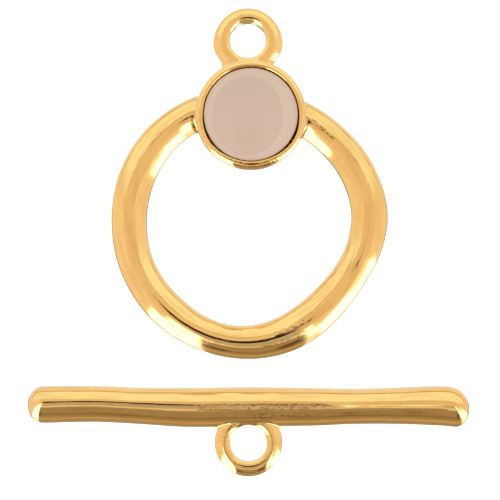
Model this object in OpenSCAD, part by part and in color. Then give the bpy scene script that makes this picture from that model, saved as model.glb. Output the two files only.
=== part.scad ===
// Toggle clasp in two castings: a hoop with a stone cup and an eye, and a bar with an eye.
// It lies flat as laid out for use: the surface is z = 0, the bar runs along X and the hoop lies behind it.
// All lengths are in millimetres.

/* [Hoop] */
// Reach from the middle of the hoop to the middle of its wire
hoop_reach = 8.9; // [7.8:0.05:11]
// Width of the hoop's wire seen from above
hoop_wire = 2.7; // [1.8:0.05:3.3]
// Height of the hoop's wire
hoop_height = 2.5; // [1.8:0.05:3]
// How far the hoop's underside stays above the cup's flat back
hoop_lift = 0.05; // [0.02:0.01:0.2]

/* [Cup] */
// Width of the metal that stands round the stone
rim_w = 0.57; // [0.35:0.01:1]
// Height of the cup from its flat back to its rim
cup_height = 3.3; // [2.9:0.05:4.5]
// Thickness of the metal under the stone
cup_floor = 1.7; // [0.8:0.05:2]
// How much the cup's flat back is smaller in radius than its widest place
cup_taper = 0.28; // [0.05:0.01:0.45]
// How far the rim's outer edge is rounded over
rim_round = 0.3; // [0.1:0.01:0.34]
// Distance from the middle of the hoop to the middle of the cup
cup_reach = 7.9; // [7:0.02:9.5]
// Sideways shift of the cup against the middle of the hoop
cup_shift = 0.26; // [-0.8:0.01:0.8]

/* [Stone] */
// Diameter of the stone
stone_d = 7.04; // [6:0.02:8]
// Height of the stone at its edge
stone_edge = 1.38; // [0.6:0.02:2]
// How much higher the stone stands in its middle than at its edge
stone_dome = 0.36; // [0.1:0.01:1]
// Rounding of the stone's upper edge
stone_round = 0.1; // [0.04:0.01:0.2]
// Clearance round the stone
stone_gap = 0.06; // [0.03:0.01:0.15]
// Clearance under the stone
stone_seat = 0.05; // [0.02:0.01:0.15]

/* [Eyes] */
// Diameter of the hole in each eye, for a jump ring
eye_hole = 2.74; // [1.8:0.02:3.2]
// Width of the metal round each eye's hole, seen from above
eye_band = 1.16; // [0.9:0.01:1.3]
// Thickness of the round wire of each eye
eye_wire = 1.5; // [1.4:0.02:1.8]
// Metal left between the cup's widest place and the hole of its eye
eye_web = 0.35; // [0.1:0.01:0.8]
// Sideways shift of the hoop's eye against the middle of the cup
eye_shift = -0.22; // [-0.6:0.01:0.6]
// Spread of the two legs on which the hoop's eye meets the cup, middle to middle
leg_spread = 2.6; // [2:0.05:3.2]
// Thickness of the two legs
leg_wire = 1.36; // [1:0.02:1.4]
// How far the hole of the bar's eye bites into the bar's flank
eye_bite = 0.12; // [0:0.01:0.3]

/* [Bar] */
// Length of the bar
bar_length = 32.86; // [29:0.02:40]
// Width of the bar seen from above
bar_width = 2.78; // [2.2:0.02:3.4]
// Height of the bar
bar_height = 2.72; // [2.2:0.02:3.4]
// Length over which the bar's left end is rounded off
left_nose = 1.2; // [0.6:0.05:2.5]
// Length over which the bar's right end is rounded off
right_nose = 1.3; // [0.6:0.05:2.5]
// How full the rounded ends are: 2 is an oval, more is squarer
nose_power = 2.3; // [1.8:0.1:3]

/* [Layout] */
// Distance at which the bar lies from the hoop
lay_gap = 1.95; // [0.5:0.05:6]
// Sideways shift of the hoop's middle against the middle of the bar
lay_shift = -0.09; // [-2:0.02:2]

/* [Hidden] */

gold = "goldenrod";
stone_colour = "rosybrown";

// Segments of a full circle, of the two drawn wires and of their sections
round_segments = 64;
hoop_stations = 80;
hoop_sides = 20;
bar_stations = 26;
bar_sides = 24;
nose_stations = 7;

// Share of a nose's length that its curve runs through, which leaves a small blunt tip
nose_reach = 0.97;

// The hand-worked hoop, a row for each place round it, counted from +X towards the cup.
// Columns: angle in degrees, then reach, width and height as shares of the hoop's sizes.
HOOP = [
    [  5, 1.033, 1.033, 1.010],
    [ 25, 1.020, 1.000, 1.000],
    [ 50, 0.997, 0.960, 0.990],
    [ 90, 1.000, 0.970, 0.990],
    [125, 1.017, 0.975, 0.990],
    [150, 1.011, 1.020, 1.005],
    [180, 0.996, 1.005, 1.000],
    [205, 0.999, 0.990, 1.000],
    [230, 1.003, 1.015, 1.005],
    [256, 1.016, 0.915, 0.970],
    [275, 1.013, 0.960, 0.980],
    [298, 0.984, 1.085, 1.020],
    [315, 0.962, 1.045, 1.010],
    [332, 0.971, 0.980, 0.995],
    [349, 1.008, 1.005, 1.000],
];
FULL_TURN = 360;

// The hand-worked bar, a row for each place along it.
// Columns: place as a share of half the length, then width, sideways offset and height as shares
// of the bar's width, width and height.
BAR = [
    [-1.00, 1.005,  0.040, 1.000],
    [-0.70, 0.980,  0.062, 0.990],
    [-0.50, 0.990,  0.012, 0.990],
    [-0.27, 1.065, -0.032, 1.015],
    [ 0.00, 1.050, -0.012, 1.010],
    [ 0.25, 1.030, -0.018, 1.005],
    [ 0.50, 0.960, -0.002, 0.980],
    [ 0.70, 1.000,  0.012, 1.000],
    [ 0.89, 1.080,  0.006, 1.020],
    [ 1.00, 1.050, -0.085, 1.000],
];
PLACE = 0;
REACH = 1;
WIDTH = 2;
HEIGHT = 3;
BAR_WIDTH = 1;
BAR_OFFSET = 2;

// A smooth value of one column at place x, through the rows on both sides of x
function row_at(table, x) = max([for (i = [1:len(table) - 3]) if (table[i][PLACE] <= x || i == 1) i]);
function smooth(table, column, x) =
    let (
        i = row_at(table, x),
        a = table[i - 1], b = table[i], c = table[i + 1], d = table[i + 2],
        span = c[PLACE] - b[PLACE],
        u = (x - b[PLACE]) / span,
        slope_b = (c[column] - a[column]) / (c[PLACE] - a[PLACE]) * span,
        slope_c = (d[column] - b[column]) / (d[PLACE] - b[PLACE]) * span
    )
    b[column] * (2 * pow(u, 3) - 3 * pow(u, 2) + 1) + slope_b * (pow(u, 3) - 2 * pow(u, 2) + u)
    + c[column] * (3 * pow(u, 2) - 2 * pow(u, 3)) + slope_c * (pow(u, 3) - pow(u, 2));
function moved(row, by) = [for (i = [0:len(row) - 1]) i == PLACE ? row[i] + by : row[i]];

// The tables with the rows that the smooth curve needs beyond their ends
last_hoop = len(HOOP) - 1;
HOOP_ROUND = concat(
    [moved(HOOP[last_hoop - 1], -FULL_TURN), moved(HOOP[last_hoop], -FULL_TURN)],
    HOOP,
    [moved(HOOP[0], FULL_TURN), moved(HOOP[1], FULL_TURN)]
);
BAR_RUN = concat([moved(BAR[0], -1)], BAR, [moved(BAR[len(BAR) - 1], 1)]);

// Hoop: its own origin is the hoop's middle, on the surface
function hoop_reach_at(a) = hoop_reach * smooth(HOOP_ROUND, REACH, a);
function hoop_width_at(a) = hoop_wire * smooth(HOOP_ROUND, WIDTH, a);
function hoop_height_at(a) = hoop_height * smooth(HOOP_ROUND, HEIGHT, a);
function hoop_ring(a) =
    let (reach = hoop_reach_at(a), half_w = hoop_width_at(a) / 2, half_h = hoop_height_at(a) / 2)
    [for (i = [0:hoop_sides - 1])
        let (t = i * FULL_TURN / hoop_sides, r = reach + half_w * cos(t))
        [r * cos(a), r * sin(a), hoop_lift + half_h * (1 + sin(t))]];
hoop_angles = [for (i = [0:hoop_stations - 1]) i * FULL_TURN / hoop_stations];
hoop_foot = max([for (a = hoop_angles) -(hoop_reach_at(a) * sin(a)) + hoop_width_at(a) / 2]);
parting_z = hoop_lift + hoop_height / 2;

// Cup and stone
pocket_r = stone_d / 2 + stone_gap;
cup_r = pocket_r + rim_w;
cup_widest_z = cup_height - rim_round * 2;
cup_back_edge = 0.15;
inner_edge = 0.06;
stone_z = cup_floor + stone_seat;
stone_r = stone_d / 2;
dome_r = stone_r - stone_round;
dome_radius = (pow(dome_r, 2) + pow(stone_dome, 2)) / (2 * stone_dome);

// Eyes
hole_r = eye_hole / 2;
eye_reach = hole_r + eye_band - eye_wire / 2;
eye_setback = cup_r + eye_web + hole_r;
leg_length = eye_setback - cup_r + rim_w;
bore_length = eye_wire * 2;

// Bar: its own origin is on its axis, half way along
half_bar = bar_length / 2;
bar_flank = bar_width * (smooth(BAR_RUN, BAR_WIDTH, 0) / 2 - smooth(BAR_RUN, BAR_OFFSET, 0));
bar_eye_setback = bar_flank - eye_bite + hole_r;
function nose_share(u) = pow(1 - pow(nose_reach * u, nose_power), 1 / nose_power);
function nose_length(x) = x < 0 ? left_nose : right_nose;
function bar_share(x) =
    let (from_tip = half_bar - abs(x), nose = nose_length(x))
    from_tip < nose ? nose_share(1 - from_tip / nose) : 1;
function bar_width_at(x) = bar_width * smooth(BAR_RUN, BAR_WIDTH, x / half_bar) * bar_share(x);
function bar_height_at(x) = bar_height * smooth(BAR_RUN, HEIGHT, x / half_bar) * bar_share(x);
function bar_offset_at(x) = bar_width * smooth(BAR_RUN, BAR_OFFSET, x / half_bar);
function bar_ring(x) =
    [for (i = [0:bar_sides - 1])
        let (t = i * FULL_TURN / bar_sides)
        [x, bar_offset_at(x) + bar_width_at(x) / 2 * sin(t), bar_height_at(x) / 2 * cos(t)]];
nose_steps = [for (i = [0:nose_stations - 1]) cos(90 * i / nose_stations)];
bar_places = concat(
    [for (u = nose_steps) -half_bar + left_nose * (1 - u)],
    [for (i = [0:bar_stations])
        -half_bar + left_nose + (bar_length - left_nose - right_nose) * i / bar_stations],
    [for (i = [nose_stations - 1:-1:0]) half_bar - right_nose * (1 - nose_steps[i])]
);
bar_top = max([for (x = bar_places) bar_offset_at(x) + bar_width_at(x) / 2]);

// The bar lies on its thickest place and on the outer end of its eye, which droops to the surface
bar_rest = max([for (x = bar_places) bar_height_at(x)]) / 2;
bar_droop = asin((bar_rest - eye_wire / 2) / (bar_eye_setback + eye_reach));

// Layout along Y: the two halves lie one behind the other, centred on the origin
ring_top = cup_reach + eye_setback + hole_r + eye_band;
bar_foot = (bar_eye_setback + eye_reach) * cos(bar_droop) + eye_wire / 2;
long = ring_top + hoop_foot + lay_gap + bar_top + bar_foot;
ring_y = long / 2 - ring_top;
bar_y = bar_foot - long / 2;

// One face list for a chain of rings of points, closed into a loop or capped at both ends
function chain_faces(rings, sides, closed) = concat(
    [for (i = [0:rings - (closed ? 1 : 2)], j = [0:sides - 1], half = [0, 1])
        let (
            k = (i + 1) % rings, n = (j + 1) % sides,
            a = i * sides + j, b = i * sides + n, c = k * sides + n, d = k * sides + j
        )
        half == 0 ? [a, b, c] : [a, c, d]],
    closed ? [] : [
        [for (j = [sides - 1:-1:0]) j],
        [for (j = [0:sides - 1]) (rings - 1) * sides + j]
    ]
);

module hoop_wire_loop() {
    points = [for (a = hoop_angles) each hoop_ring(a)];
    polyhedron(points, chain_faces(hoop_stations, hoop_sides, true), convexity = 6);
}

module bar_rod() {
    points = [for (x = bar_places) each bar_ring(x)];
    polyhedron(points, chain_faces(len(bar_places), bar_sides, false), convexity = 4);
}

module cup_blank() {
    rotate_extrude($fn = round_segments) polygon([
        [0, 0],
        [cup_r - cup_taper - cup_back_edge, 0],
        [cup_r - cup_taper, cup_back_edge],
        [cup_r, cup_widest_z],
        [cup_r - rim_round * 0.25, cup_height - rim_round],
        [cup_r - rim_round * 0.7, cup_height - rim_round * 0.3],
        [cup_r - rim_round * 1.2, cup_height],
        [0, cup_height],
    ]);
}

module stone_pocket() {
    translate([0, 0, cup_floor]) cylinder(r = pocket_r, h = cup_height, $fn = round_segments);
    translate([0, 0, cup_height - inner_edge])
        cylinder(r1 = pocket_r, r2 = pocket_r + inner_edge * 2, h = inner_edge * 2, $fn = round_segments);
}

module eye_loop() {
    rotate_extrude($fn = round_segments) translate([eye_reach, 0]) circle(d = eye_wire, $fn = round_segments);
}

module eye_bore() {
    translate([0, 0, -bore_length / 2]) cylinder(r = hole_r, h = bore_length, $fn = round_segments);
}

module eye_legs() {
    for (side = [-1, 1])
        translate([side * leg_spread / 2, 0, 0]) rotate([90, 0, 0])
            cylinder(d = leg_wire, h = leg_length, $fn = round_segments);
}

module at_ring() {
    translate([lay_shift, ring_y, 0]) children();
}

module at_cup() {
    at_ring() translate([cup_shift, cup_reach, 0]) children();
}

module at_ring_eye() {
    at_cup() translate([eye_shift, eye_setback, parting_z]) children();
}

module at_bar() {
    translate([0, bar_y, bar_rest]) children();
}

module at_bar_eye() {
    at_bar() rotate([bar_droop, 0, 0]) translate([0, -bar_eye_setback, 0]) children();
}

module clasp_ring() {
    color(gold) difference() {
        union() {
            at_ring() hoop_wire_loop();
            at_cup() cup_blank();
            at_ring_eye() eye_loop();
            at_ring_eye() eye_legs();
        }
        at_cup() stone_pocket();
        at_ring_eye() eye_bore();
    }
}

module cabochon() {
    color(stone_colour) at_cup() translate([0, 0, stone_z]) intersection() {
        rotate_extrude($fn = round_segments) polygon([
            [0, 0],
            [stone_r - stone_round, 0],
            [stone_r, stone_round],
            [stone_r, stone_edge - stone_round],
            [dome_r, stone_edge],
            [dome_r, stone_edge + stone_dome],
            [0, stone_edge + stone_dome],
        ]);
        translate([0, 0, stone_edge + stone_dome - dome_radius]) sphere(r = dome_radius, $fn = round_segments * 4);
    }
}

module toggle_bar() {
    color(gold) difference() {
        union() {
            at_bar() bar_rod();
            at_bar_eye() eye_loop();
        }
        at_bar_eye() eye_bore();
    }
}

clasp_ring();
cabochon();
toggle_bar();
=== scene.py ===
"""Toggle clasp laid out flat: a gilt hoop half with an opaque stone in its cup, and a gilt bar half.

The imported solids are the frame. Each half is modelled again here as one casting with soft joins, in
millimetres, and its finished mesh is brought to metres in the place of its node.
"""

import logging
import math
from dataclasses import dataclass, field
from enum import Enum
from types import MappingProxyType
from typing import Mapping, NamedTuple, Sequence

import bmesh
import bpy
from mathutils import Matrix, Vector, noise


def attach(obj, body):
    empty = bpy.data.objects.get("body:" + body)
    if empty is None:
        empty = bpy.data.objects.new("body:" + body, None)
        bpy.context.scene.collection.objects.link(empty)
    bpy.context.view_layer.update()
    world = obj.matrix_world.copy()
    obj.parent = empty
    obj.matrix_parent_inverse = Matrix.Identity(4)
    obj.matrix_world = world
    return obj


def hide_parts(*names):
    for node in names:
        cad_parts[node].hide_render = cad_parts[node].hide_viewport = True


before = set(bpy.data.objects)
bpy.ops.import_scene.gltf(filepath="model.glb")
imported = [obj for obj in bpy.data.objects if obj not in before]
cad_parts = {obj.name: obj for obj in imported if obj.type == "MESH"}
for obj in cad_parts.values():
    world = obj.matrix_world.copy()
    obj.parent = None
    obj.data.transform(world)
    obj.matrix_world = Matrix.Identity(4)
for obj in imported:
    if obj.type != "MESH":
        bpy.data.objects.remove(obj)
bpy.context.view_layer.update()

log = logging.getLogger("toggle_clasp")

MM = 0.001
DEGREES = math.degrees(1)
FULL_TURN = 2 * math.pi
QUARTER_TURN = math.radians(90)
UP = Vector((0, 0, 1))
ALONG_X = Vector((1, 0, 0))
NOTHING: Mapping = MappingProxyType({})
SAME_PLACE = 1e-5
AT_AXIS = 1e-6

HOOP_CENTRE = (-0.09, 1.3631)
HOOP_REACH = 8.9
CUP_CENTRE = (0.17, 9.2631)


# Shader values


class Channel:
    """A shader value that can be written into arithmetic."""

    def __init__(self, paint: "Paint", socket: bpy.types.NodeSocket) -> None:
        """Wraps one output socket of a node tree."""
        self.paint = paint
        self.socket = socket

    def __add__(self, other: "Value") -> "Channel":
        """self + other"""
        return self.paint.sum("ADD", self, other)

    __radd__ = __add__

    def __sub__(self, other: "Value") -> "Channel":
        """self - other"""
        return self.paint.sum("SUBTRACT", self, other)

    def __rsub__(self, other: "Value") -> "Channel":
        """other - self"""
        return self.paint.sum("SUBTRACT", other, self)

    def __mul__(self, other: "Value") -> "Channel":
        """self * other"""
        return self.paint.sum("MULTIPLY", self, other)

    __rmul__ = __mul__

    def __truediv__(self, other: "Value") -> "Channel":
        """self / other"""
        return self.paint.sum("DIVIDE", self, other)

    def __neg__(self) -> "Channel":
        """-self"""
        return self.paint.sum("MULTIPLY", self, -1.0)


Value = Channel | float
Axes = tuple[float, float, float]
Colour = tuple[float, float, float]


class Ramp(NamedTuple):
    """Where a soft step starts and where it is full; an end below the start makes it a falling step."""

    start: float
    end: float


class Paint:
    """Adds the nodes of one material or of the world."""

    def __init__(self, tree: bpy.types.NodeTree) -> None:
        """Starts from an empty tree."""
        self.tree = tree
        tree.nodes.clear()

    def node(
        self,
        kind: str,
        settings: Mapping[str, object] = NOTHING,
        inputs: Mapping[str | int, object] = NOTHING,
    ) -> bpy.types.Node:
        """Adds one node.

        Args:
            kind: the node's type name.
            settings: the node's own settings, which are set first.
            inputs: numbers, vectors, colours or channels for its sockets, by name or by place.

        Returns:
            The new node.
        """
        node = self.tree.nodes.new(kind)
        for name, value in settings.items():
            setattr(node, name, value)
        for name, value in inputs.items():
            socket = node.inputs[name]
            if isinstance(value, Channel):
                self.tree.links.new(value.socket, socket)
            elif socket.type == "RGBA":
                socket.default_value = (*value, 1.0)
            else:
                socket.default_value = value
        return node

    def out(self, node: bpy.types.Node, name: str | int = 0) -> Channel:
        """One output of a node as a channel."""
        return Channel(self, node.outputs[name])

    def sum(self, operation: str, *values: Value) -> Channel:
        """The result of a Math node's operation on values, in their order."""
        return self.out(self.node("ShaderNodeMath", {"operation": operation}, dict(enumerate(values))))

    def step(self, value: Value, ramp: Ramp) -> Channel:
        """A soft step.

        Args:
            value: what is looked at.
            ramp: where the step starts and where it is full.

        Returns:
            0 to 1.
        """
        rise = self.out(self.node(
            "ShaderNodeMapRange", {"interpolation_type": "SMOOTHSTEP"},
            {"Value": value, "From Min": min(ramp), "From Max": max(ramp)},
        ))
        return rise if ramp.start <= ramp.end else 1 - rise

    def band(self, value: Value, reach: tuple[float, float], soft: float) -> Channel:
        """1 between the ends of reach, falling to 0 over soft on both sides."""
        low, high = reach
        return self.step(value, Ramp(low - soft, low)) * self.step(value, Ramp(high + soft, high))

    def mix(self, share: Value, first: Colour | Channel, second: Colour | Channel) -> Channel:
        """A colour between two others.

        Args:
            share: 0 gives the first, 1 the second.
            first: a colour or a colour channel.
            second: a colour or a colour channel.

        Returns:
            The mixed colour.
        """
        # A Mix node holds its two colours at places 6 and 7, and the mixed colour at place 2.
        mixed = self.node("ShaderNodeMix", {"data_type": "RGBA"}, {0: share, 6: first, 7: second})
        return self.out(mixed, 2)

    def noise(self, place: Channel, scale: float, detail: float = 2.0, rough: float = 0.5) -> Channel:
        """Soft noise from 0 to 1, with scale waves in each millimetre of place."""
        inputs = {"Vector": place, "Scale": scale, "Detail": detail, "Roughness": rough}
        return self.out(self.node("ShaderNodeTexNoise", inputs=inputs))

    def millimetres(self, stretch: Axes = (1.0, 1.0, 1.0)) -> Channel:
        """Object coordinates in millimetres, each axis stretched by its own factor."""
        where = self.out(self.node("ShaderNodeTexCoord"), "Object")
        factors = tuple(factor / MM for factor in stretch)
        scaled = self.node("ShaderNodeVectorMath", {"operation": "MULTIPLY"}, {0: where, 1: factors})
        return self.out(scaled)

    def parts(self, vector: Channel) -> tuple[Channel, Channel, Channel]:
        """The three parts of a vector."""
        split = self.node("ShaderNodeSeparateXYZ", inputs={0: vector})
        return self.out(split, 0), self.out(split, 1), self.out(split, 2)

    def surface(self, inputs: Mapping[str, object], height: Channel | None = None) -> None:
        """Closes a material with its shader and its output.

        Args:
            inputs: the shader's numbers, colours and channels, by socket name.
            height: the relief in millimetres, where there is one.
        """
        if height is not None:
            bump = self.node("ShaderNodeBump", inputs={"Strength": 1.0, "Distance": MM, "Height": height})
            inputs = {**inputs, "Normal": self.out(bump)}
        shader = self.node("ShaderNodeBsdfPrincipled", inputs=inputs)
        self.node("ShaderNodeOutputMaterial", inputs={"Surface": self.out(shader)})


def painted(name: str) -> tuple[bpy.types.Material, Paint]:
    """A new material, and the paint that adds its nodes."""
    made = bpy.data.materials.new(name)
    made.use_nodes = True
    return made, Paint(made.node_tree)


# Finishes


class Slot(Enum):
    """The record's material slots."""

    RING = "gilt_ring"
    STONE = "stone"
    BAR = "gilt_bar"


class Run(Enum):
    """Which way a half's wire runs, which its polishing follows."""

    ROUND = "round"
    STRAIGHT = "straight"


class WirePlace(NamedTuple):
    """A place on the wire: along it, across it, and its height, in millimetres."""

    along: Channel
    across: Channel
    height: Channel


class Grain(NamedTuple):
    """Noise drawn out along the wire: its waves in a millimetre along and across it, and its fineness."""

    along: float
    across: float
    rough: float = 0.55
    detail: float = 3.0


class Patch(NamedTuple):
    """A brushed place on the wire, with its soft ends, its strokes' height and how much its strokes are
    darkened.
    """

    along: tuple[float, float]
    across: tuple[float, float]
    ends: float
    height: float
    stroke_darkness: float


class Tilt(NamedTuple):
    """A stretch of the wire that was worked to fall off along it, between two places, by so many degrees."""

    start: float
    end: float
    degrees: float


@dataclass(frozen=True)
class GiltFinish:
    """Polished gold plate on a casting that was worked by hand; waves are counted in a millimetre."""

    name: str
    run: Run
    patches: Sequence[Patch] = ()
    tilts: Sequence[Tilt] = ()

    gold: Colour = (0.970, 0.605, 0.215)
    worn: Colour = (0.950, 0.555, 0.180)
    drawn_tone: Colour = (0.860, 0.490, 0.160)
    darkened_stroke_colour: Colour = (0.170, 0.100, 0.030)
    cloud_waves: float = 0.45
    cloud_share: float = 0.7
    cloud_detail: float = 3.0
    mottle_waves: float = 2.6
    wear: Ramp = Ramp(0.35, 0.75)
    fine_lines: Grain = Grain(0.30, 3.2)
    broad_lines: Grain = Grain(0.22, 1.5)
    streak: Ramp = Ramp(0.47, 0.60)
    streak_share: float = 0.75
    streak_fade_y: Ramp = Ramp(12.0, 9.5)

    roughness: float = 0.045
    haze: float = 0.05
    scratch_haze: float = 0.02
    stroke_haze: float = 0.05

    swell_waves: float = 0.8
    swell_detail: float = 1.5
    swell_rough: float = 0.4
    swell_height: float = 0.0030
    grain_waves: float = 11.0
    grain_height: float = 0.00035
    scratches_along: Axes = (1.6, 17.0, 9.0)
    scratches_across: Axes = (13.0, 1.3, 8.0)
    scratch_along: Ramp = Ramp(0.60, 0.68)
    scratch_across: Ramp = Ramp(0.62, 0.70)
    scratch_height: float = 0.0004
    pit_cells: float = 0.55
    pit: Ramp = Ramp(0.075, 0.035)
    pit_height: float = 0.004
    deep_lines: Grain = Grain(0.14, 1.25)
    deep_height: float = 0.080
    line_height: float = 0.022
    lively_y: tuple[float, float] = (0.0, 5.0)
    lively_soft: float = 5.0
    calm_share: float = 0.12

    strokes: Grain = Grain(2.6, 7.0, 0.65)
    stroke_dark_ramp: Ramp = Ramp(0.50, 0.62)
    patch_soft: float = 0.12
    patch_rise_z: Ramp = Ramp(1.0, 2.0)
    tilt_soft: float = 1.5

    def wire_place(self, paint: Paint, place: Channel) -> WirePlace:
        """Where a point lies on the wire.

        Args:
            paint: the material's nodes.
            place: object coordinates in millimetres.

        Returns:
            The place, counted along the hoop from its side by the bar, or along the bar from its middle.
        """
        x, y, z = paint.parts(place)
        if self.run is Run.STRAIGHT:
            return WirePlace(x, y, z)
        dx, dy = x - HOOP_CENTRE[0], y - HOOP_CENTRE[1]
        return WirePlace(paint.sum("ARCTAN2", dx, -dy) * HOOP_REACH, paint.sum("SQRT", dx * dx + dy * dy), z)

    def drawn(self, paint: Paint, wire: WirePlace, grain: Grain) -> Channel:
        """Noise from 0 to 1 that is drawn out along the wire."""
        where = paint.node("ShaderNodeCombineXYZ", inputs={
            0: wire.along * grain.along, 1: wire.across * grain.across, 2: wire.height * grain.across,
        })
        return paint.noise(paint.out(where), 1.0, grain.detail, grain.rough)

    def scratches(self, paint: Paint) -> Channel:
        """Fine scratches along X and along Y, 1 where a scratch is."""
        lines = paint.noise(paint.millimetres(self.scratches_along), 1.0)
        cross = paint.noise(paint.millimetres(self.scratches_across), 1.0)
        return paint.step(lines, self.scratch_along) + paint.step(cross, self.scratch_across)

    def tone(self, paint: Paint, place: Channel, y: Channel, mottle: Channel, lines: Channel) -> Channel:
        """The plate's colour.

        Args:
            paint: the material's nodes.
            place: object coordinates in millimetres.
            y: their part along Y.
            mottle: small clouds from 0 to 1.
            lines: the mean of the fine and the broad lines along the wire.

        Returns:
            Soft clouds of wear, crossed by streaks along the wire that fade towards the ring's eye.
        """
        cloud = paint.noise(place, self.cloud_waves, self.cloud_detail)
        clouds = cloud * self.cloud_share + mottle * (1 - self.cloud_share)
        colour = paint.mix(paint.step(clouds, self.wear), self.gold, self.worn)
        streaked = paint.step(lines, self.streak) * paint.step(y, self.streak_fade_y)
        return paint.mix(streaked * self.streak_share, colour, self.drawn_tone)

    def relief(self, paint: Paint, place: Channel, scratches: Channel) -> Channel:
        """The plate's height in millimetres: a slow swell and fine grain, less the scratches."""
        swell = paint.noise(place, self.swell_waves, self.swell_detail, self.swell_rough)
        grain = paint.noise(place, self.grain_waves)
        return swell * self.swell_height + grain * self.grain_height - scratches * self.scratch_height

    def pits(self, paint: Paint, place: Channel) -> Channel:
        """Casting pits, 1 where a pit is."""
        inputs = {"Vector": place, "Scale": self.pit_cells, "Randomness": 1.0}
        cells = paint.node("ShaderNodeTexVoronoi", inputs=inputs)
        return paint.step(paint.out(cells, "Distance"), self.pit)

    def material(self) -> bpy.types.Material:
        """Makes the finish as a material.

        Returns:
            The material, which reads object coordinates.
        """
        made, paint = painted(self.name)
        place = paint.millimetres()
        _, y, z = paint.parts(place)
        wire = self.wire_place(paint, place)
        mottle = paint.noise(place, self.mottle_waves, self.cloud_detail)
        fine = self.drawn(paint, wire, self.fine_lines)
        broad = self.drawn(paint, wire, self.broad_lines)
        scratches = self.scratches(paint)
        lively = self.calm_share + (1 - self.calm_share) * paint.band(y, self.lively_y, self.lively_soft)

        colour = self.tone(paint, place, y, mottle, fine * 0.5 + broad * 0.5)
        roughness = self.roughness + self.haze * mottle + scratches * self.scratch_haze
        height = self.relief(paint, place, scratches)
        height = height + self.drawn(paint, wire, self.deep_lines) * lively * self.deep_height
        height = height + fine * lively * self.line_height
        height = height - self.pits(paint, place) * self.pit_height

        strokes = self.drawn(paint, wire, self.strokes)
        for patch in self.patches:
            share = paint.band(wire.along, patch.along, patch.ends)
            share = share * paint.band(wire.across, patch.across, self.patch_soft)
            share = share * paint.step(z, self.patch_rise_z)
            height = height + share * strokes * patch.height
            roughness = roughness + share * self.stroke_haze
            # Inside each patch, the strokes are darkened by the patch's listed share.
            dark = share * paint.step(strokes, self.stroke_dark_ramp) * patch.stroke_darkness
            colour = paint.mix(dark, colour, self.darkened_stroke_colour)
        for tilt in self.tilts:
            past = paint.sum("SMOOTH_MAX", wire.along - tilt.start, 0.0, self.tilt_soft)
            beyond = paint.sum("SMOOTH_MAX", wire.along - tilt.end, 0.0, self.tilt_soft)
            height = height - (past - beyond) * math.tan(math.radians(tilt.degrees))
        paint.surface({"Base Color": colour, "Metallic": 1.0, "Roughness": roughness}, height)
        return made


@dataclass(frozen=True)
class StoneFinish:
    """Opaque taupe-pink stone with a glossy dome, its colour slightly paler towards its edge as a painted
    sheen.
    """

    name: str
    # middle and reach place the ring of painted sheen, off the stone's centre.
    middle: tuple[float, float]
    reach: tuple[float, float] = (2.66, 3.02)
    painted_sheen_soft: Ramp = Ramp(0.97, 1.03)
    wander_waves: float = 0.4
    wander: float = 0.10
    body: Colour = (0.580, 0.410, 0.303)
    painted_sheen: Colour = (0.632, 0.462, 0.340)
    clouded: Colour = (0.58, 0.42, 0.33)
    cloud_waves: float = 1.1
    cloud_detail: float = 4.0
    cloud: Ramp = Ramp(0.35, 0.8)
    cloud_share: float = 0.10
    flecked: Colour = (0.76, 0.60, 0.50)
    fleck_waves: float = 9.0
    fleck: Ramp = Ramp(0.55, 0.75)
    fleck_share: float = 0.08
    roughness: float = 0.13
    haze: float = 0.05
    ior: float = 1.5
    swell_waves: float = 0.9
    swell_height: float = 0.002
    fleck_height: float = 0.0002

    def material(self) -> bpy.types.Material:
        """Makes the finish as a material.

        Returns:
            The material, which reads object coordinates.
        """
        made, paint = painted(self.name)
        place = paint.millimetres()
        x, y, _ = paint.parts(place)
        dx, dy = (x - self.middle[0]) / self.reach[0], (y - self.middle[1]) / self.reach[1]
        wander = (paint.noise(place, self.wander_waves) - 0.5) * self.wander
        out = paint.sum("SQRT", dx * dx + dy * dy) + wander
        cloud = paint.noise(place, self.cloud_waves, self.cloud_detail)
        fleck = paint.noise(place, self.fleck_waves)
        # Painted sheen: the colour grows paler in a ring towards the edge, off the centre, where the dome
        # catches light.
        tone = paint.mix(paint.step(out, self.painted_sheen_soft), self.body, self.painted_sheen)
        tone = paint.mix(paint.step(cloud, self.cloud) * self.cloud_share, tone, self.clouded)
        tone = paint.mix(paint.step(fleck, self.fleck) * self.fleck_share, tone, self.flecked)
        height = paint.noise(place, self.swell_waves) * self.swell_height + fleck * self.fleck_height
        roughness = self.roughness + self.haze * cloud
        paint.surface({"Base Color": tone, "Roughness": roughness, "IOR": self.ior}, height)
        return made


# Mesh helpers


def smooth_row(rows: Sequence[Sequence[float]], at: float) -> list[float]:
    """What a table says between its rows, on smooth curves through them.

    Args:
        rows: the table, whose first column rises, with one row more than needed at each end.
        at: the place along the first column.

    Returns:
        The value of each other column there.
    """
    i = max(k for k in range(1, len(rows) - 2) if rows[k][0] <= at or k == 1)
    a, b, c, d = rows[i - 1: i + 3]
    span = c[0] - b[0]
    u = (at - b[0]) / span
    values = []
    for before, start, end, after in zip(a[1:], b[1:], c[1:], d[1:]):
        leaving = (end - before) / (c[0] - a[0]) * span
        arriving = (after - start) / (d[0] - b[0]) * span
        values.append(
            start * (2 * u**3 - 3 * u**2 + 1) + leaving * (u**3 - 2 * u**2 + u)
            + end * (3 * u**2 - 2 * u**3) + arriving * (u**3 - u**2)
        )
    return values


def upright_circle(out: float, radius: float, sides: int) -> bmesh.types.BMesh:
    """A circle that stands on the XZ plane, out from the axis that it is spun round."""
    bm = bmesh.new()
    place = Matrix.Translation((out, 0, 0)) @ Matrix.Rotation(QUARTER_TURN, 4, "X")
    bmesh.ops.create_circle(bm, segments=sides, radius=radius, matrix=place)
    return bm


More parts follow.
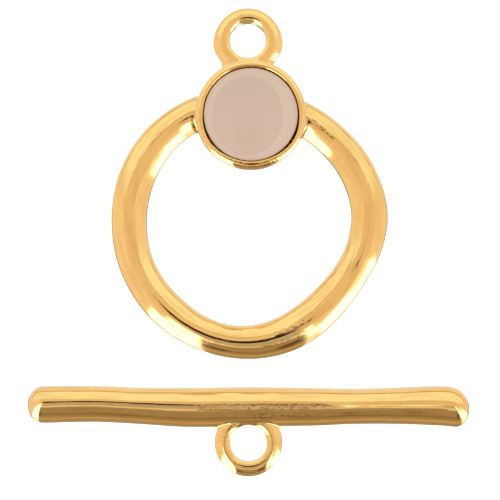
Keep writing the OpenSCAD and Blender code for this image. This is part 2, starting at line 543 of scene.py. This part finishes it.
def turn(bm: bmesh.types.BMesh, geom: list[bmesh.types.BMVert | bmesh.types.BMEdge], steps: int) -> None:
    """Spins geom a full turn round Z and closes the mesh that it makes."""
    bmesh.ops.spin(bm, geom=geom, cent=(0, 0, 0), axis=UP, angle=FULL_TURN, steps=steps, use_merge=True)
    bmesh.ops.remove_doubles(bm, verts=bm.verts[:], dist=SAME_PLACE)
    bmesh.ops.recalc_face_normals(bm, faces=bm.faces[:])


def spun(points: Sequence[tuple[float, float]], steps: int) -> bmesh.types.BMesh:
    """A solid turned round Z.

    Args:
        points: the profile's corners as radius and height, from the axis back to the axis.
        steps: how many sides a full turn has.

    Returns:
        The turned solid.
    """
    bm = bmesh.new()
    verts = [bm.verts.new((r, 0, z)) for r, z in points]
    edges = [bm.edges.new(pair) for pair in zip(verts, verts[1:])]
    turn(bm, verts + edges, steps)
    return bm


def joined(solids: Sequence[bmesh.types.BMesh]) -> bmesh.types.BMesh:
    """All solids, which are used up, in one mesh, as they lie."""
    whole = bmesh.new()
    for solid in solids:
        part = bpy.data.meshes.new("part")
        solid.to_mesh(part)
        solid.free()
        whole.from_mesh(part)
        bpy.data.meshes.remove(part)
    return whole


def as_object(bm: bmesh.types.BMesh, name: str) -> bpy.types.Object:
    """Puts a mesh, which is used up, into the scene as an object at the origin."""
    mesh = bpy.data.meshes.new(name)
    bm.to_mesh(mesh)
    bm.free()
    holder = bpy.data.objects.new(name, mesh)
    bpy.context.scene.collection.objects.link(holder)
    return holder


class Casting(NamedTuple):
    """How a skin is cast: its faces' edge length in millimetres, and the smoothing that softens its joins."""

    grain: float
    rounds: int
    softening: float = 0.5


def cast_in_one(solids: Sequence[bmesh.types.BMesh], casting: Casting) -> bmesh.types.BMesh:
    """Runs overlapping solids together into one skin with soft joins.

    Args:
        solids: closed solids that overlap where they join.
        casting: how the skin is cast.

    Returns:
        The one skin.
    """
    holder = as_object(joined(solids), "rough")
    rough = holder.data
    skin = holder.modifiers.new("skin", "REMESH")
    skin.mode = "VOXEL"
    skin.voxel_size = casting.grain
    soften = holder.modifiers.new("soften", "SMOOTH")
    soften.factor = casting.softening
    soften.iterations = casting.rounds
    bm = bmesh.new()
    bm.from_object(holder, bpy.context.evaluated_depsgraph_get())
    bpy.data.objects.remove(holder)
    bpy.data.meshes.remove(rough)
    return bm


class HandWork(NamedTuple):
    """Unevenness of filing and polishing: its depth, its waves in a millimetre and its pattern's seed."""

    depth: float
    waves: float
    seed: float


def hand_worked(bm: bmesh.types.BMesh, work: HandWork) -> None:
    """Leaves the unevenness of hand work on a skin in millimetres."""
    bm.normal_update()
    shift = Vector((work.seed, -work.seed, work.seed / 2))
    for vert in bm.verts:
        vert.co += vert.normal * work.depth * noise.noise(vert.co * work.waves + shift)


def finished(
    bm: bmesh.types.BMesh,
    name: str,
    node: str,
    material: bpy.types.Material,
    reflected: bool = True,
) -> bpy.types.Object:
    """Turns a mesh in millimetres into a finished piece.

    Args:
        bm: the mesh, which is used up.
        name: the piece's name.
        node: the node that the piece stands for.
        material: its material.
        reflected: whether it shows in reflections.

    Returns:
        The piece, riding on the clasp's one body.
    """
    bmesh.ops.scale(bm, vec=(MM, MM, MM), verts=bm.verts[:])
    for face in bm.faces:
        face.smooth = True
    piece = as_object(bm, name)
    piece.data.materials.append(material)
    piece.visible_glossy = reflected
    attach(piece, "root")
    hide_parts(node)
    return piece


# The eye


@dataclass(frozen=True)
class Eye:
    """A round wire eye with a straight bore for a jump ring."""

    hole_r: float = 1.37
    reach: float = 1.78
    wire: float = 1.5
    edge: float = 0.10
    edge_arcs: int = 4
    shoulder_spread: float = 1.3
    sides: int = 40
    steps: int = 112

    def solid(self) -> bmesh.types.BMesh:
        """Spins the wire's flattened section round the bore's axis.

        Returns:
            The eye about the origin, its bore along Z.
        """
        bm = upright_circle(self.reach, self.wire / 2, self.sides)
        bmesh.ops.bisect_plane(
            bm, geom=bm.verts[:] + bm.edges[:], plane_co=(self.hole_r, 0, 0), plane_no=ALONG_X,
            clear_inner=True,
        )
        ends = [vert for vert in bm.verts if len(vert.link_edges) == 1]
        bm.edges.new(ends)
        bmesh.ops.bevel(
            bm, geom=ends, offset=self.edge, segments=self.edge_arcs, profile=0.5, affect="VERTICES",
            material=-1,
        )
        turn(bm, bm.verts[:] + bm.edges[:], self.steps)
        return bm

    def broaden(self, bm: bmesh.types.BMesh, share: float, at_y: float) -> None:
        """Gives the eye's outer side wider shoulders.

        Args:
            bm: the eye, about the origin.
            share: how much wider it grows there.
            at_y: where along Y its shoulders are.
        """
        wall = self.reach + self.wire / 2 - self.hole_r
        for vert in bm.verts:
            out = math.hypot(vert.co.x, vert.co.y) - self.hole_r
            reach = max(0.0, min(1.0, out / wall))
            vert.co.x *= 1 + share * reach * math.exp(-((vert.co.y - at_y) / self.shoulder_spread) ** 2)

    def clear_bore(self, bm: bmesh.types.BMesh) -> None:
        """Pushes what stands in the bore out to the bore's wall; the bore is about the origin, along Z."""
        for vert in bm.verts:
            out = math.hypot(vert.co.x, vert.co.y)
            if AT_AXIS < out < self.hole_r:
                vert.co.x *= self.hole_r / out
                vert.co.y *= self.hole_r / out


# The ring half


class HoopStation(NamedTuple):
    """One place round the hoop, with shares of the hoop's sizes."""

    angle: float
    reach: float
    width: float
    height: float

    def turned(self, by: float) -> "HoopStation":
        """The same station, by degrees further round."""
        return self._replace(angle=self.angle + by)


@dataclass
class Hoop:
    """The hoop's hand-worked wire."""

    centre: tuple[float, float] = HOOP_CENTRE
    reach: float = HOOP_REACH
    wire: float = 2.7
    height: float = 2.5
    lift: float = 0.05
    spin_reach: float = 3.0
    stations: int = 240
    sides: int = 56
    rows: Sequence[HoopStation] = (
        HoopStation(5, 1.033, 1.033, 1.010),
        HoopStation(25, 1.020, 1.000, 1.000),
        HoopStation(50, 0.997, 0.960, 0.990),
        HoopStation(90, 1.000, 0.970, 0.990),
        HoopStation(125, 1.017, 0.975, 0.990),
        HoopStation(150, 1.011, 1.020, 1.005),
        HoopStation(180, 0.996, 1.005, 1.000),
        HoopStation(205, 0.999, 0.990, 1.000),
        HoopStation(230, 1.003, 1.015, 1.005),
        HoopStation(256, 1.016, 0.915, 0.970),
        HoopStation(275, 1.013, 0.960, 0.980),
        HoopStation(298, 0.984, 1.085, 1.020),
        HoopStation(315, 0.962, 1.045, 1.010),
        HoopStation(332, 0.971, 0.980, 0.995),
        HoopStation(349, 1.008, 1.005, 1.000),
    )

    def solid(self) -> bmesh.types.BMesh:
        """Spins a round section of radius 1 and shapes it by the stations.

        Returns:
            The hoop in its place.
        """
        bm = upright_circle(self.spin_reach, 1, self.sides)
        turn(bm, bm.verts[:] + bm.edges[:], self.stations)
        before = [row.turned(-360) for row in self.rows[-2:]]
        after = [row.turned(360) for row in self.rows[:2]]
        rows = [*before, *self.rows, *after]
        for vert in bm.verts:
            angle = math.atan2(vert.co.y, vert.co.x)
            across = math.hypot(vert.co.x, vert.co.y) - self.spin_reach
            at = math.degrees(angle) % 360
            reach, width, height = smooth_row(rows, at)
            radius = self.reach * reach + self.wire * width / 2 * across
            x, y = self.centre[0] + radius * math.cos(angle), self.centre[1] + radius * math.sin(angle)
            vert.co = (x, y, self.lift + self.height * height / 2 * (1 + vert.co.z))
        return bm


@dataclass
class Cup:
    """The body of the round cup under the stone, which the rim stands on."""

    centre: tuple[float, float] = CUP_CENTRE
    radius: float = 4.13
    taper: float = 0.28
    back_edge: float = 0.15
    widest_z: float = 2.7
    height: float = 2.55
    pocket_r: float = 3.72
    floor_z: float = 1.6
    under_floor: float = 0.15
    steps: int = 192

    def solid(self) -> bmesh.types.BMesh:
        """Spins the body's profile.

        Returns:
            The body in its place.
        """
        foot = self.radius - self.taper
        top_r = self.radius - self.taper * (self.widest_z - self.height) / self.widest_z
        bm = spun([
            (0, 0), (foot - self.back_edge, 0), (foot, self.back_edge), (top_r, self.height),
            (self.pocket_r, self.height), (self.pocket_r, self.floor_z), (0, self.floor_z),
        ], self.steps)
        bmesh.ops.translate(bm, vec=(*self.centre, 0), verts=bm.verts[:])
        return bm

    def clear_pocket(self, bm: bmesh.types.BMesh) -> None:
        """Pushes what stands in the pocket down under its floor."""
        for vert in bm.verts:
            if math.hypot(vert.co.x - self.centre[0], vert.co.y - self.centre[1]) < self.pocket_r:
                vert.co.z = min(vert.co.z, self.floor_z - self.under_floor)


class Slack(NamedTuple):
    """A place where the rim was pressed less tightly to the stone, by its angle, spread and gap."""

    angle: float
    spread: float
    gap: float

    def at(self, angle: float) -> float:
        """The gap that it leaves at an angle."""
        return self.gap * math.exp(-(((angle - self.angle + 180) % 360 - 180) / self.spread) ** 2)


class LipStep(NamedTuple):
    """A corner of the rim's inner lip, out from the inner wall and down from the top."""

    out: float
    down: float


@dataclass
class Rim:
    """The cup's rim: a low crown over a round wall, a plain inner wall, and a seat under the stone."""

    centre: tuple[float, float] = CUP_CENTRE
    inner_r: float = 3.58
    crown_r: float = 3.66
    outer_r: float = 4.15
    top_z: float = 3.3
    widest_z: float = 2.7
    belly_inset: float = 0.035
    belly_z: float = 2.35
    skirt_r: float = 4.04
    skirt_z: float = 2.0
    foot_inset: float = 0.1
    foot_z: float = 1.62
    seat: float = 0.06
    wall_margin: float = 0.01
    fullness: float = 2.6
    arcs: int = 22
    steps: int = 288
    lip: Sequence[LipStep] = (LipStep(0.0, 0.10), LipStep(0.01, 0.05), LipStep(0.03, 0.015))
    slacks: Sequence[Slack] = (Slack(-32, 26, 0.15), Slack(214, 24, 0.12), Slack(60, 40, 0.02))
    work: HandWork = HandWork(0.006, 0.9, 2.0)

    def crown(self) -> list[tuple[float, float]]:
        """The crown's section, from its top out to the widest place.

        Returns:
            Its corners as radius and height.
        """
        wide, tall = self.outer_r - self.crown_r, self.top_z - self.widest_z
        corners = []
        for i in range(self.arcs):
            turned = QUARTER_TURN * i / self.arcs
            out, up = math.sin(turned) ** (2 / self.fullness), math.cos(turned) ** (2 / self.fullness)
            corners.append((self.crown_r + wide * out, self.widest_z + tall * up))
        return [*corners, (self.outer_r, self.widest_z)]

    def ease(self, bm: bmesh.types.BMesh) -> None:
        """Eases the inner wall away from the stone at the slack places; the rim is about the origin."""
        for vert in bm.verts:
            out = math.hypot(vert.co.x, vert.co.y)
            if out > self.inner_r - self.wall_margin:
                angle = math.degrees(math.atan2(vert.co.y, vert.co.x))
                near = max(0.0, min(1.0, (self.outer_r - out) / (self.outer_r - self.inner_r)))
                gap = sum(slack.at(angle) for slack in self.slacks) * near
                vert.co.x *= 1 + gap / out
                vert.co.y *= 1 + gap / out

    def build(self, finish: bpy.types.Material) -> bpy.types.Object:
        """Spins the rim, eases its inner edge and dresses it.

        Args:
            finish: its material.

        Returns:
            The finished piece.
        """
        seat_z = self.foot_z + self.seat
        lip = [(self.inner_r + step.out, self.top_z - step.down) for step in self.lip]
        bm = spun([
            (0, seat_z), (self.inner_r, seat_z), *lip, *self.crown(),
            (self.outer_r - self.belly_inset, self.belly_z), (self.skirt_r, self.skirt_z),
            (self.skirt_r - self.foot_inset, self.foot_z), (0, self.foot_z),
        ], self.steps)
        self.ease(bm)
        bmesh.ops.translate(bm, vec=(*self.centre, 0), verts=bm.verts[:])
        hand_worked(bm, self.work)
        return finished(bm, "cup_rim", "clasp_ring", finish)


@dataclass
class RingHalf:
    """The hoop, the cup and their eye, cast in one, and the cup's rim."""

    hoop: Hoop = field(default_factory=Hoop)
    cup: Cup = field(default_factory=Cup)
    rim: Rim = field(default_factory=Rim)
    eye: Eye = field(default_factory=Eye)
    eye_centre: tuple[float, float, float] = (-0.05, 15.1331, 1.3)
    shoulder_share: float = 0.05
    shoulder_y: float = -0.5
    leg_spread: float = 2.6
    leg_wire: float = 1.36
    leg_length: float = 2.29
    leg_sides: int = 48
    leg_cuts: int = 20
    casting: Casting = Casting(0.105, 10)
    work: HandWork = HandWork(0.014, 0.5, 4.0)

    def legs(self) -> bmesh.types.BMesh:
        """The two short legs between the eye and the cup, clear of the bore.

        Returns:
            The legs about the eye's centre.
        """
        bm = bmesh.new()
        radius, middle = self.leg_wire / 2, -self.leg_length / 2
        for side in (-1, 1):
            place = Matrix.Translation((side * self.leg_spread / 2, middle, 0))
            bmesh.ops.create_cone(
                bm, cap_ends=True, segments=self.leg_sides, radius1=radius, radius2=radius,
                depth=self.leg_length, matrix=place @ Matrix.Rotation(QUARTER_TURN, 4, "X"),
            )
        along = [edge for edge in bm.edges if (edge.verts[0].co.y > middle) != (edge.verts[1].co.y > middle)]
        bmesh.ops.subdivide_edges(bm, edges=along, cuts=self.leg_cuts, use_grid_fill=True)
        self.eye.clear_bore(bm)
        return bm

    def build(self, finish: GiltFinish) -> list[bpy.types.Object]:
        """Casts the half, sets its rim and dresses both.

        Args:
            finish: their gilt finish.

        Returns:
            The finished pieces.
        """
        eye, legs, hoop = self.eye.solid(), self.legs(), self.hoop.solid()
        self.eye.broaden(eye, self.shoulder_share, self.shoulder_y)
        for solid in (eye, legs):
            bmesh.ops.translate(solid, vec=self.eye_centre, verts=solid.verts[:])
        for solid in (eye, legs, hoop):
            self.cup.clear_pocket(solid)
        skin = cast_in_one([hoop, self.cup.solid(), eye, legs], self.casting)
        hand_worked(skin, self.work)
        gilt = finish.material()
        casting = finished(skin, "ring_casting", "clasp_ring", gilt, reflected=False)
        return [casting, self.rim.build(gilt)]


# The stone


@dataclass
class Cabochon:
    """The domed stone in the cup."""

    centre: tuple[float, float] = CUP_CENTRE
    foot_z: float = 1.75
    edge_z: float = 3.13
    radius: float = 3.52
    rounding: float = 0.10
    rise: float = 0.36
    dome_arcs: int = 28
    corner_arcs: int = 6
    steps: int = 192

    def dome(self) -> list[tuple[float, float]]:
        """The dome's section, an arc of a ball from the top out to the rounded corner.

        Returns:
            Its corners as radius and height.
        """
        reach = self.radius - self.rounding
        ball_r = (reach**2 + self.rise**2) / (2 * self.rise)
        ball_z = self.edge_z + self.rise - ball_r
        slopes = [math.asin(reach / ball_r) * i / self.dome_arcs for i in range(self.dome_arcs + 1)]
        return [(ball_r * math.sin(slope), ball_z + ball_r * math.cos(slope)) for slope in slopes]

    def corner(self) -> list[tuple[float, float]]:
        """The rounded corner's section, past the dome's own slope, out to the side.

        Returns:
            Its corners as radius and height.
        """
        inner = self.radius - self.rounding
        turns = [QUARTER_TURN * i / self.corner_arcs for i in range(2, self.corner_arcs + 1)]
        return [
            (inner + self.rounding * math.sin(turned), self.edge_z - self.rounding * (1 - math.cos(turned)))
            for turned in turns
        ]

    def build(self, finish: StoneFinish) -> bpy.types.Object:
        """Turns the stone and dresses it.

        Args:
            finish: its finish.

        Returns:
            The finished piece.
        """
        foot_r = self.radius - self.rounding
        bm = spun([
            *self.dome(), *self.corner(), (self.radius, self.foot_z + self.rounding), (foot_r, self.foot_z),
            (0, self.foot_z),
        ], self.steps)
        bmesh.ops.translate(bm, vec=(*self.centre, 0), verts=bm.verts[:])
        return finished(bm, "stone_cabochon", "cabochon", finish.material())


# The bar half


class BarStation(NamedTuple):
    """One place along the bar as a share of half its length, with shares of the bar's sizes."""

    place: float
    width: float
    offset: float
    height: float


@dataclass
class BarHalf:
    """The hand-worked bar and its eye, cast in one."""

    length: float = 32.86
    width: float = 2.78
    height: float = 2.72
    left_nose: float = 1.2
    right_nose: float = 1.3
    nose_power: float = 2.3
    nose_share: float = 0.12
    axis_y: float = -12.435
    rest_z: float = 1.385
    ridge: float = 0.12
    ridge_power: float = 1.75
    crown: float = 1.15
    eye: Eye = field(default_factory=Eye)
    eye_setback: float = 2.743
    eye_droop: float = 8.07
    sides: int = 64
    rings: int = 150
    casting: Casting = Casting(0.085, 8)
    work: HandWork = HandWork(0.014, 0.45, 9.0)
    rows: Sequence[BarStation] = (
        BarStation(-2.00, 1.005, 0.040, 1.000),
        BarStation(-1.00, 1.005, 0.040, 1.000),
        BarStation(-0.70, 0.980, 0.062, 0.990),
        BarStation(-0.50, 0.990, 0.012, 0.990),
        BarStation(-0.27, 1.065, -0.032, 1.015),
        BarStation(0.00, 1.050, -0.012, 1.010),
        BarStation(0.25, 1.030, -0.018, 1.005),
        BarStation(0.50, 0.960, -0.002, 0.980),
        BarStation(0.70, 1.000, 0.012, 1.000),
        BarStation(0.89, 1.080, 0.006, 1.020),
        BarStation(1.00, 1.050, -0.085, 1.000),
        BarStation(2.00, 1.050, -0.085, 1.000),
    )

    def station(self, turned: float) -> tuple[float, float]:
        """Where a ring of the rod lies.

        Args:
            turned: the ring's place from the left tip, 0, to the right tip, 1.

        Returns:
            Its place along the bar in millimetres, and the rod's fullness there from 0 to 1.
        """
        half = self.length / 2
        for nose, share, sign in ((self.left_nose, turned, -1), (self.right_nose, 1 - turned, 1)):
            if share < self.nose_share:
                slant = math.cos(QUARTER_TURN * share / self.nose_share)
                full = (1 - slant**self.nose_power) ** (1 / self.nose_power)
                return sign * (half - nose * (1 - slant)), full
        run = (turned - self.nose_share) / (1 - 2 * self.nose_share)
        start = -half + self.left_nose
        return start + run * (self.length - self.left_nose - self.right_nose), 1.0

    def section(self, around: float) -> tuple[float, float]:
        """The rod's section: a worn ridge along its top, a little behind its middle, and a round underside.

        Args:
            around: the angle from the top towards +Y.

        Returns:
            Shares of half the width and of half the height, the second counted from half the height.
        """
        across, widest = math.sin(around), 1 - self.crown
        if math.cos(around) < 0:
            return across, widest + (2 - self.crown) * math.cos(around)
        room = 1 - self.ridge if across > self.ridge else 1 + self.ridge
        share = min(1.0, abs(across - self.ridge) / room)
        return across, widest + self.crown * (1 - share**self.ridge_power) ** (1 / self.ridge_power)

    def rod(self) -> bmesh.types.BMesh:
        """Draws a ball out along X and shapes it by the stations.

        Returns:
            The rod in its place.
        """
        bm = bmesh.new()
        lying = Matrix.Rotation(QUARTER_TURN, 4, "Y")
        bmesh.ops.create_uvsphere(bm, u_segments=self.sides, v_segments=self.rings, radius=1, matrix=lying)
        for vert in bm.verts:
            around = math.atan2(vert.co.y, vert.co.z)
            turned = math.acos(max(-1.0, min(1.0, -vert.co.x))) / math.pi
            x, full = self.station(turned)
            width, offset, height = smooth_row(self.rows, x / (self.length / 2))
            across, up = self.section(around)
            vert.co = (
                x, self.axis_y + self.width * (offset + width / 2 * full * across),
                self.rest_z + self.height * height / 2 * full * up,
            )
        bmesh.ops.recalc_face_normals(bm, faces=bm.faces[:])
        return bm

    def build(self, finish: GiltFinish) -> bpy.types.Object:
        """Casts the half and dresses it.

        Args:
            finish: its gilt finish.

        Returns:
            The finished piece.
        """
        eye, rod = self.eye.solid(), self.rod()
        at_bar = Matrix.Translation((0, self.axis_y, self.rest_z))
        droop = Matrix.Rotation(math.radians(self.eye_droop), 4, "X")
        at_eye = at_bar @ droop @ Matrix.Translation((0, -self.eye_setback, 0))
        bmesh.ops.transform(eye, matrix=at_eye, verts=eye.verts[:])
        bmesh.ops.transform(rod, matrix=at_eye.inverted(), verts=rod.verts[:])
        self.eye.clear_bore(rod)
        bmesh.ops.transform(rod, matrix=at_eye, verts=rod.verts[:])
        skin = cast_in_one([rod, eye], self.casting)
        hand_worked(skin, self.work)
        return finished(skin, "bar_casting", "toggle_bar", finish.material(), reflected=False)


# Studio


class Card(NamedTuple):
    """A card in the dome, between two sides and two zeniths in degrees; side 0 is -Y and side 90 is +X."""

    sides: tuple[float, float]
    side_soft: float
    zeniths: tuple[float, float]
    zenith_soft: float
    colour: Colour


class Stripe(NamedTuple):
    """A stripe round the back of the dome, between two zeniths in degrees, and how strongly it shows."""

    zeniths: tuple[float, float]
    soft: float
    share: float
    colour: Colour


WHITE = (3.5, 3.6, 4.2)
COOL = (0.85, 1.12, 1.55)
NEAR_BLACK = (0.13, 0.11, 0.09)
FRONT = (-21.0, 29.0)
# A later stripe or card lies over an earlier one.
BACK_STRIPES = (
    Stripe((29.0, 94.0), 3.0, 1.0, (1.03, 1.19, 1.22)),
    Stripe((25.5, 27.5), 1.5, 0.8, (0.62, 0.55, 0.42)),
    Stripe((98.0, 102.0), 2.5, 0.9, (0.60, 0.46, 0.28)),
)
DIM_CARDS = (
    Card(FRONT, 5.0, (12.0, 190.0), 4.0, (0.53, 0.55, 0.58)),
    Card(FRONT, 5.0, (35.0, 41.0), 3.0, (0.86, 0.84, 0.82)),
    Card(FRONT, 5.0, (44.0, 190.0), 3.0, (0.38, 0.345, 0.29)),
    Card(FRONT, 5.0, (78.0, 85.0), 4.0, (0.29, 0.24, 0.16)),
    Card(FRONT, 5.0, (105.0, 114.0), 6.0, (0.60, 0.50, 0.36)),
    Card(FRONT, 5.0, (130.0, 190.0), 10.0, (0.42, 0.41, 0.36)),
    Card((18.0, 27.0), 4.0, (64.0, 82.0), 5.0, NEAR_BLACK),
    Card((-20.0, -12.0), 4.0, (72.0, 84.0), 5.0, NEAR_BLACK),
)
WHITE_CARDS = (
    Card((34.0, 70.0), 4.0, (54.0, 150.0), 8.0, (1.30, 1.35, 1.40)),
    Card((-42.0, -24.0), 4.0, (30.0, 150.0), 8.0, WHITE),
    Card((-52.0, -40.0), 3.0, (58.0, 150.0), 8.0, WHITE),
    Card((35.0, 41.0), 2.5, (30.0, 82.0), 5.0, WHITE),
    Card((44.0, 58.0), 4.0, (62.0, 150.0), 6.0, WHITE),
    Card((57.0, 69.0), 4.0, (78.0, 150.0), 6.0, WHITE),
    Card((-52.0, -24.0), 4.0, (128.0, 190.0), 8.0, COOL),
    Card((35.0, 75.0), 4.0, (128.0, 190.0), 8.0, COOL),
)


@dataclass
class Studio:
    """A pale floor, a soft dome of light with white and dim cards, and the camera; angles are in degrees."""

    target: tuple[float, float, float] = (0.108, -0.735, 1.2)
    tilt: float = 6.0
    distance: float = 200.0
    lens: float = 192.0
    sensor: float = 36.0
    sight: tuple[float, float] = (1.0, 10000.0)

    floor_reach: float = 600.0
    floor_tones: tuple[Colour, Colour] = ((0.80, 0.80, 0.80), (0.82, 0.82, 0.82))
    floor_waves: float = 0.02
    floor_roughness: float = 0.9
    floor_glow: float = 0.70

    dome: Colour = (0.96, 0.96, 0.96)
    crest: Colour = (0.86, 0.80, 0.73)
    crest_zenith: Ramp = Ramp(46.0, 26.0)
    under: Colour = (0.46, 0.53, 0.48)
    under_zenith: Ramp = Ramp(126.0, 152.0)
    back_side: Ramp = Ramp(106.0, 122.0)
    back_under: Colour = (0.93, 1.04, 1.26)
    back_under_zenith: Ramp = Ramp(100.0, 150.0)
    lens_shade: Colour = (0.02, 0.02, 0.02)
    lens_lean: tuple[float, float] = (-0.5, -4.0)
    lens_edge: Ramp = Ramp(7.4, 6.8)

    def camera(self) -> None:
        """Sets the camera above the clasp, leaning a little towards the bar's side."""
        data = bpy.data.cameras.new("camera")
        data.lens = self.lens
        data.sensor_width = self.sensor
        data.clip_start, data.clip_end = (end * MM for end in self.sight)
        holder = bpy.data.objects.new("camera", data)
        lean = math.radians(self.tilt)
        outward = Vector((0, -math.sin(lean), math.cos(lean)))
        holder.location = (Vector(self.target) + outward * self.distance) * MM
        holder.rotation_euler = (lean, 0, 0)
        bpy.context.scene.collection.objects.link(holder)
        bpy.context.scene.camera = holder
        bpy.context.scene.view_settings.view_transform = "Standard"

    def floor(self) -> None:
        """Lays the pale floor at the surface that the clasp lies on."""
        bm = bmesh.new()
        bmesh.ops.create_grid(bm, x_segments=1, y_segments=1, size=self.floor_reach * MM)
        holder = as_object(bm, "floor")
        made, paint = painted("pale_floor")
        cloud = paint.noise(paint.millimetres(), self.floor_waves)
        paint.surface({
            "Base Color": paint.mix(cloud, *self.floor_tones), "Roughness": self.floor_roughness,
            "Specular IOR Level": 0.0, "Emission Color": (1, 1, 1), "Emission Strength": self.floor_glow,
        })
        holder.data.materials.append(made)
        holder.visible_glossy = False

    def lens_disc(self, paint: Paint, where: Channel) -> Channel:
        """The small dark disc that the lens makes in the dome, 1 inside it."""
        across, forward = (math.sin(math.radians(lean)) for lean in self.lens_lean)
        toward = Vector((across, forward, 1.0)).normalized()
        near = paint.node("ShaderNodeVectorMath", {"operation": "DOT_PRODUCT"}, {0: where, 1: toward})
        off = paint.sum("ARCCOSINE", paint.sum("MINIMUM", paint.out(near, "Value"), 1.0)) * DEGREES
        return paint.step(off, self.lens_edge)

    def light(self) -> None:
        """Lights the scene by a soft dome with dim cards on the camera's side and white ones beside them."""
        world = bpy.data.worlds.new("studio")
        world.use_nodes = True
        bpy.context.scene.world = world
        paint = Paint(world.node_tree)
        where = paint.out(paint.node("ShaderNodeTexCoord"), "Generated")
        x, y, z = paint.parts(where)
        zenith = paint.sum("ARCCOSINE", z) * DEGREES
        side = paint.sum("ARCTAN2", x, -y) * DEGREES
        back = paint.step(paint.sum("ABSOLUTE", side), self.back_side)

        sky = paint.mix(paint.step(zenith, self.crest_zenith), self.dome, self.crest)
        sky = paint.mix(paint.step(zenith, self.under_zenith), sky, self.under)
        sky = paint.mix(back * paint.step(zenith, self.back_under_zenith), sky, self.back_under)
        for stripe in BACK_STRIPES:
            share = back * paint.band(zenith, stripe.zeniths, stripe.soft) * stripe.share
            sky = paint.mix(share, sky, stripe.colour)
        for card in DIM_CARDS + WHITE_CARDS:
            share = paint.band(side, card.sides, card.side_soft)
            share = share * paint.band(zenith, card.zeniths, card.zenith_soft)
            sky = paint.mix(share, sky, card.colour)
        sky = paint.mix(self.lens_disc(paint, where), sky, self.lens_shade)
        seen = paint.out(paint.node("ShaderNodeLightPath"), "Is Camera Ray")
        sky = paint.mix(seen, sky, (1.0, 1.0, 1.0))
        shine = paint.node("ShaderNodeBackground", inputs={"Color": sky, "Strength": 1.0})
        paint.node("ShaderNodeOutputWorld", inputs={"Surface": paint.out(shine)})

    def build(self) -> None:
        """Makes the camera, the floor and the light."""
        self.camera()
        self.floor()
        self.light()


# The whole clasp


RING_PATCHES = (
    Patch((2.4, 4.3), (8.6, 8.85), 0.5, 0.015, 0.9),
    Patch((1.4, 4.6), (9.35, 9.5), 0.6, 0.010, 0.6),
    Patch((20.9, 23.2), (8.88, 9.0), 0.4, 0.010, 0.9),
)
BAR_PATCHES = (
    Patch((-3.3, 5.8), (-12.72, -12.35), 1.2, 0.020, 0.55),
    Patch((0.6, 4.0), (-13.34, -13.12), 0.8, 0.012, 0.75),
    Patch((-14.0, 14.5), (-13.5, -12.9), 2.0, 0.004, 0.10),
)
BAR_TILTS = (Tilt(-8.4, -1.4, 3.0), Tilt(6.4, 15.2, 6.5))


def main() -> None:
    """Builds the clasp and its studio, and reports each piece."""
    logging.basicConfig(level=logging.INFO, format="%(name)s: %(message)s")
    Studio().build()
    pieces = [
        *RingHalf().build(GiltFinish("gilt_ring", Run.ROUND, RING_PATCHES)),
        # The stone's middle here centres its painted sheen a little off the cup's centre.
        Cabochon().build(StoneFinish("taupe_stone", middle=(-0.09, 9.15))),
        BarHalf().build(GiltFinish("gilt_bar", Run.STRAIGHT, BAR_PATCHES, BAR_TILTS)),
    ]
    for piece in pieces:
        piece.data.calc_loop_triangles()
        log.info("%s: %d triangles", piece.name, len(piece.data.loop_triangles))


if __name__ == "__main__":
    main()
